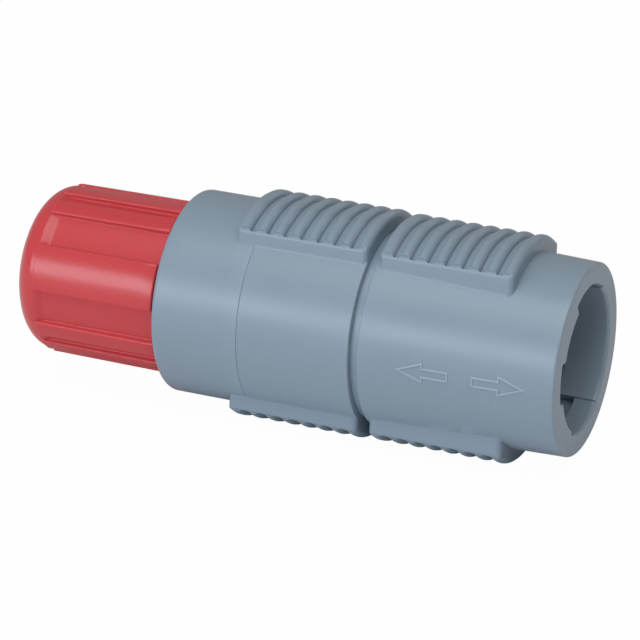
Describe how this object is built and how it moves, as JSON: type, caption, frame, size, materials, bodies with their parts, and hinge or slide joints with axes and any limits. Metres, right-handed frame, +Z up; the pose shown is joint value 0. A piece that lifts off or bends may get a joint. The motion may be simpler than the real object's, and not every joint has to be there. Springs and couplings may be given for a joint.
{
  "type": "push pull circular connector",
  "caption": "In-line round plastic cable connector with a sliding coupling sleeve, ribbed finger pads and a collet nut.",
  "frame": {"origin": "centre of the mating face, on the connector's axis", "axes": "+X along the axis, out of the mating mouth; +Z up through the upper finger pads; +Y to the side away from the arrows"},
  "size_m": [0.0456, 0.016, 0.0174],
  "materials": {
    "shell_plastic": "satin",
    "nut_plastic": "satin",
    "insulator_plastic": "matte",
    "collet_plastic": "satin",
    "contact_metal": "polished",
    "spring_steel": "satin"
  },
  "bodies": {
    "housing": {"connector_body": "shell_plastic", "grip_shell": "shell_plastic", "rear_barrel": "shell_plastic", "retaining_ring": "spring_steel", "front_insulator": "insulator_plastic", "rear_insulator": "insulator_plastic", "insulator_lock_ring": "insulator_plastic", "contact_1": "contact_metal", "contact_2": "contact_metal", "contact_3": "contact_metal", "contact_4": "contact_metal", "contact_5": "contact_metal", "contact_6": "contact_metal", "contact_7": "contact_metal", "contact_8": "contact_metal", "contact_9": "contact_metal", "contact_10": "contact_metal"},
    "sleeve": {"coupling_sleeve": "shell_plastic", "return_spring": "spring_steel"},
    "collet": {"cable_collet": "collet_plastic"},
    "nut": {"collet_nut": "nut_plastic"}
  },
  "joints": [
    {"name": "sleeve_slide", "type": "slide", "parent": "housing", "child": "sleeve", "axis": [1, 0, 0], "range_m": [-0.00065, 0], "stiffness_N_per_m": 1500, "springref_m": 0.001, "deforming": ["return_spring"]},
    {"name": "collet_slide", "type": "slide", "parent": "housing", "child": "collet", "axis": [1, 0, 0], "range_m": [-0.004, 0]},
    {"name": "nut_turn", "type": "hinge", "parent": "collet", "child": "nut", "pos_m": [-0.038, 0, 0], "axis": [1, 0, 0], "range_deg": [-1440, 0]}
  ],
  "couplings": [
    {"joint": "nut_turn", "follows": "collet_slide", "rad_per_m": 6283.1}
  ]
}
